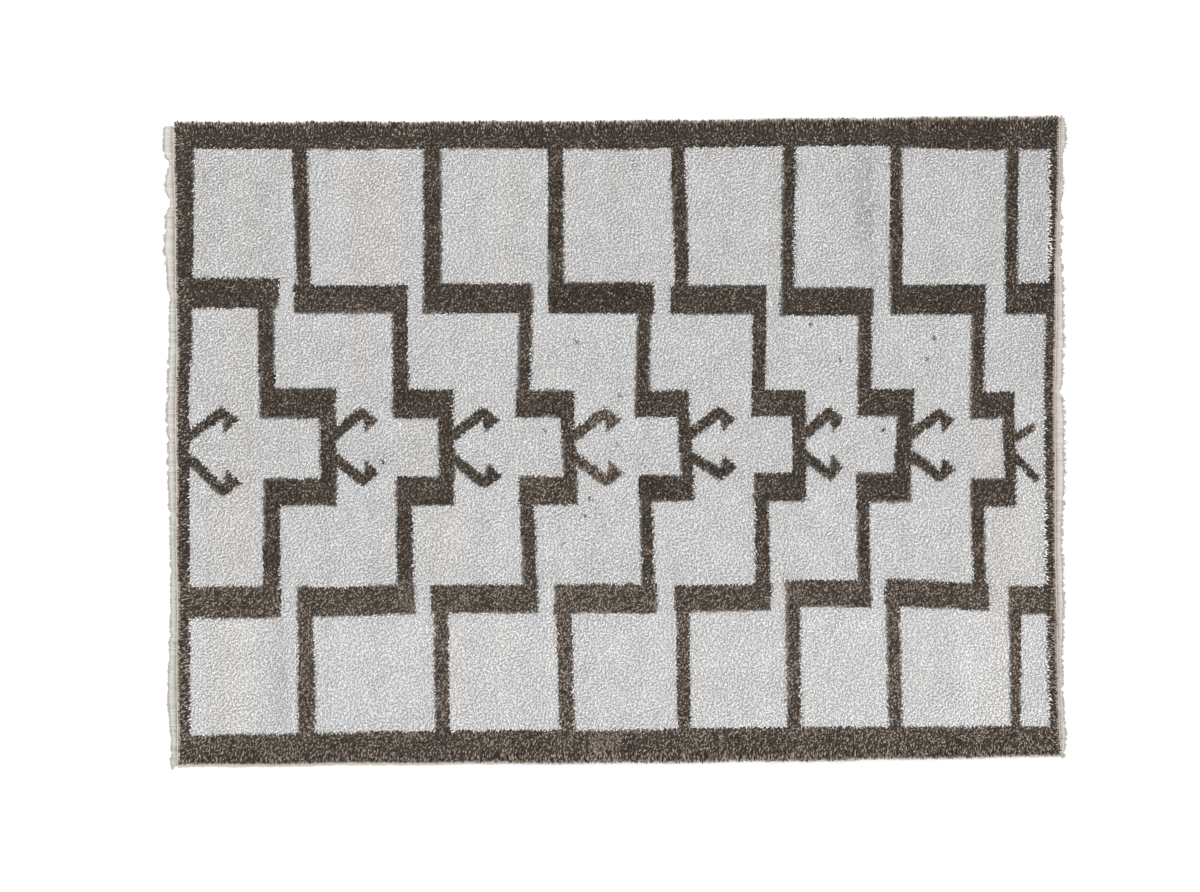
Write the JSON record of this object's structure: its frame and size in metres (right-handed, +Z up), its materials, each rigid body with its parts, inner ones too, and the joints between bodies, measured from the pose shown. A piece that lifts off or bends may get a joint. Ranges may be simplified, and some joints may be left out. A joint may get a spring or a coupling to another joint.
{
  "type": "tulu rug",
  "caption": "Flat rectangular shag rug of knotted wool, with bound long sides, a twined row at each end and short fringed ends.",
  "frame": {"origin": "the floor point under the middle of the rug's box", "axes": "+X along the warps, from the densely fringed end to the sparsely fringed one; +Y along the wefts; +Z up from the floor, out of the pile"},
  "size_m": [2.0318, 1.4632, 0.0224],
  "materials": {
    "wool_pile": "matt, soft clipped wool shag",
    "wool_binding": "matt, overcast wool yarn",
    "twined_yarn": "matt, two-ply twined yarn",
    "warp_yarn": "matt, worn undyed warp ends"
  },
  "bodies": {
    "root": {"pile": "wool_pile", "selvedge_top": "wool_binding", "selvedge_bottom": "wool_binding", "twined_row_left": "twined_yarn", "twined_row_right": "twined_yarn", "fringe_left": "warp_yarn", "fringe_right": "warp_yarn"}
  },
  "joints": []
}
